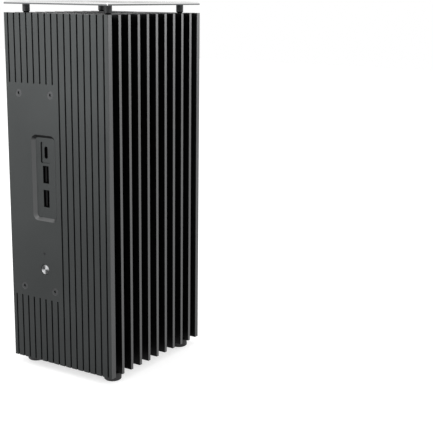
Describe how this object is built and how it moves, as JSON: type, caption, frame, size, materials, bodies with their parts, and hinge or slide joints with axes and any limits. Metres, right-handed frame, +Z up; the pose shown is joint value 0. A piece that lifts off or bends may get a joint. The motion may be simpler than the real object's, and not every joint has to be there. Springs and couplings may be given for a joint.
{
  "type": "mini pc",
  "caption": "Upright fanless mini PC: ribbed front and rear panels, finned heatsinks on both sides, a slotted top grille on posts, a sprung power button and round rubber feet.",
  "frame": {"origin": "centre of the footprint, at the underside of the rubber feet", "axes": "+Z up the tower, -Y out of the front panel with the power button, +X to the right seen from the front"},
  "size_m": [0.096, 0.1134, 0.2756],
  "materials": {
    "panel": "dark grey anodised, fine blasted",
    "heatsink": "black anodised, fin tips machined grey",
    "brace": "dark anodised, cut ends grey",
    "divider": "matt black powder coat",
    "grille": "dark grey anodised, bright cut edges",
    "post": "dark grey anodised, turned",
    "dark_screw": "dark zinc, satin",
    "black_screw": "black oxide",
    "steel_screw": "plain steel",
    "foot_rubber": "matt black rubber",
    "button_metal": "turned, circular brushed",
    "black_plastic": "matt black moulded",
    "white_plastic": "off-white moulded",
    "clear_plastic": "frosted clear moulded",
    "black_shell": "black nickel plated steel",
    "steel_shell": "bright stamped steel",
    "circuit_board": "green solder mask",
    "chip_black": "moulded chip package",
    "brass_standoff": "nickel-free brass, machined",
    "brass_pin": "turned brass",
    "bare_aluminium": "milled",
    "thermal_pad": "soft grey pad",
    "cable_jacket": "flat cable jacket"
  },
  "bodies": {
    "case": {"block_screws": "steel_screw", "board_headers": "white_plastic", "board_screws": "steel_screw", "board_standoffs": "brass_standoff", "button_retainer": "black_plastic", "coin_cell": "steel_shell", "cpu_package": "chip_black", "cpu_pad": "thermal_pad", "dc_jack": "black_plastic", "dc_pin": "brass_pin", "display_stack_lower": "black_shell", "display_stack_upper": "black_shell", "divider_screws": "black_screw", "foot_front_left": "foot_rubber", "foot_front_right": "foot_rubber", "foot_rear_left": "foot_rubber", "foot_rear_right": "foot_rubber", "foot_screws": "black_screw", "front_cable": "cable_jacket", "front_io_board": "circuit_board", "front_lower_brace": "brace", "front_panel": "panel", "front_panel_screws": "dark_screw", "front_port_tongues": "black_plastic", "front_upper_brace": "brace", "front_usb_a_ports": "black_shell", "front_usb_c_port": "black_shell", "grille_posts": "post", "grille_screws": "dark_screw", "heat_block": "bare_aluminium", "io_screws": "steel_screw", "io_standoffs": "brass_standoff", "left_heatsink": "heatsink", "light_pipe": "clear_plastic", "lower_divider": "divider", "mainboard": "circuit_board", "memory_module_lower": "circuit_board", "memory_module_upper": "circuit_board", "memory_socket_lower": "black_plastic", "memory_socket_upper": "black_plastic", "network_jack": "black_shell", "power_switch": "steel_shell", "rear_lower_brace": "brace", "rear_panel": "panel", "rear_panel_screws": "dark_screw", "rear_port_tongues": "black_plastic", "rear_upper_brace": "brace", "rear_usb_stack": "black_shell", "right_heatsink": "heatsink", "sink_pad": "thermal_pad", "ssd_card": "circuit_board", "ssd_screw": "steel_screw", "ssd_socket": "black_plastic", "ssd_standoff": "brass_standoff", "status_led": "white_plastic", "top_grille": "grille", "upper_divider": "divider", "wifi_module": "steel_shell"},
    "power_button": {"power_button": "button_metal", "switch_plunger": "black_plastic"}
  },
  "joints": [
    {"name": "power_button_press", "type": "slide", "parent": "case", "child": "power_button", "axis": [0, 1, 0], "range_m": [0, 0.0005], "stiffness_N_per_m": 2500, "springref_m": -0.0003}
  ]
}
